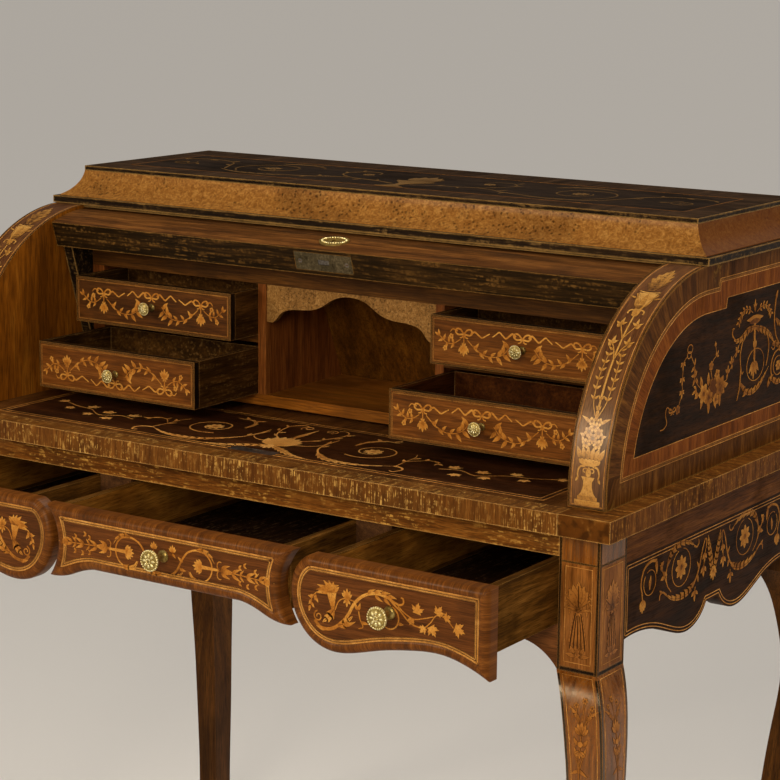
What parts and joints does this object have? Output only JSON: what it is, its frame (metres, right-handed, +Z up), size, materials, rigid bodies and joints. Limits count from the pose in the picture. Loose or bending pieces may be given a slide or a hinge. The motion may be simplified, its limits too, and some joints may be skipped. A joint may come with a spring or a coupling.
{
  "type": "cylinder desk",
  "caption": "Writing table on cabriole legs with shaped frieze drawers and a writing slide, and a quarter-round fall that turns back over a nest of small drawers and a pigeonhole.",
  "frame": {"origin": "on the floor, under the middle of the desk's rest-pose box, which includes the drawers as they stand open", "axes": "+X to the sitter's right, +Y to the back, +Z up"},
  "size_m": [1.048, 0.788, 1.0692],
  "materials": {
    "rosewood": "satin French polish, marquetry of lighter woods",
    "walnut": "satin French polish",
    "burr_walnut": "satin French polish",
    "ebonised": "worn black polish",
    "dark_panel": "satin French polish, marquetry of lighter woods",
    "drawer_lining": "dull, stained by age",
    "brass": "aged, rubbed bright on the high spots",
    "steel": "dull, oxidised"
  },
  "bodies": {
    "carcase": {"front_left_leg": "rosewood", "front_right_leg": "rosewood", "back_left_leg": "rosewood", "back_right_leg": "rosewood", "left_side_apron": "dark_panel", "right_side_apron": "dark_panel", "back_apron": "drawer_lining", "front_top_rail": "walnut", "front_lower_rail": "walnut", "drawer_partitions": "drawer_lining", "drawer_runners": "drawer_lining", "slide_bearers": "drawer_lining", "table_ends": "walnut", "table_rear_board": "walnut", "left_quadrant_end": "walnut", "right_quadrant_end": "walnut", "case_back": "drawer_lining", "cornice_base": "ebonised", "dust_strip": "ebonised", "cornice_cove": "burr_walnut", "cornice_top": "dark_panel", "pivot_pins": "steel", "fall_stops": "drawer_lining", "nest_base": "walnut", "nest_uprights": "walnut", "nest_top": "walnut", "nest_frieze": "walnut", "drawer_dividers": "walnut", "nest_back": "drawer_lining", "pigeonhole_arch": "burr_walnut"},
    "fall": {"fall_shell": "walnut", "fall_lock_rail": "ebonised", "fall_cheeks": "walnut", "lock_plate": "brass", "keyhole_escutcheon": "brass"},
    "lock_bolt": {"lock_bolt": "steel"},
    "writing_slide": {"slide_panel": "dark_panel", "slide_front_edge": "walnut", "strike_plate": "steel"},
    "left_drawer": {"left_drawer_front": "rosewood", "left_drawer_box": "drawer_lining", "left_drawer_knob": "brass"},
    "centre_drawer": {"centre_drawer_front": "rosewood", "centre_drawer_box": "drawer_lining", "centre_drawer_knob": "brass"},
    "right_drawer": {"right_drawer_front": "rosewood", "right_drawer_box": "drawer_lining", "right_drawer_knob": "brass"},
    "upper_left_small_drawer": {"upper_left_small_front": "rosewood", "upper_left_small_box": "drawer_lining", "upper_left_small_knob": "brass"},
    "upper_right_small_drawer": {"upper_right_small_front": "rosewood", "upper_right_small_box": "drawer_lining", "upper_right_small_knob": "brass"},
    "lower_left_small_drawer": {"lower_left_small_front": "rosewood", "lower_left_small_box": "drawer_lining", "lower_left_small_knob": "brass"},
    "lower_right_small_drawer": {"lower_right_small_front": "rosewood", "lower_right_small_box": "drawer_lining", "lower_right_small_knob": "brass"}
  },
  "joints": [
    {"name": "fall_turn", "type": "hinge", "parent": "carcase", "child": "fall", "pos_m": [0, 0.03218, 0.7826], "axis": [-1, 0, 0], "range_deg": [-73.5, 0]},
    {"name": "bolt_throw", "type": "slide", "parent": "fall", "child": "lock_bolt", "axis": [0, 0.9588, 0.284], "range_m": [-0.009, 0]},
    {"name": "slide_out", "type": "slide", "parent": "carcase", "child": "writing_slide", "axis": [0, -1, 0], "range_m": [0, 0.2]},
    {"name": "left_drawer_slide", "type": "slide", "parent": "carcase", "child": "left_drawer", "axis": [0, -1, 0], "range_m": [-0.118, 0.182]},
    {"name": "centre_drawer_slide", "type": "slide", "parent": "carcase", "child": "centre_drawer", "axis": [0, -1, 0], "range_m": [-0.128, 0.172]},
    {"name": "right_drawer_slide", "type": "slide", "parent": "carcase", "child": "right_drawer", "axis": [0, -1, 0], "range_m": [-0.13, 0.17]},
    {"name": "upper_left_small_slide", "type": "slide", "parent": "carcase", "child": "upper_left_small_drawer", "axis": [0, -1, 0], "range_m": [-0.059, 0.041]},
    {"name": "upper_right_small_slide", "type": "slide", "parent": "carcase", "child": "upper_right_small_drawer", "axis": [0, -1, 0], "range_m": [-0.033, 0.067]},
    {"name": "lower_left_small_slide", "type": "slide", "parent": "carcase", "child": "lower_left_small_drawer", "axis": [0, -1, 0], "range_m": [-0.135, 0.005]},
    {"name": "lower_right_small_slide", "type": "slide", "parent": "carcase", "child": "lower_right_small_drawer", "axis": [0, -1, 0], "range_m": [-0.124, 0.016]}
  ]
}
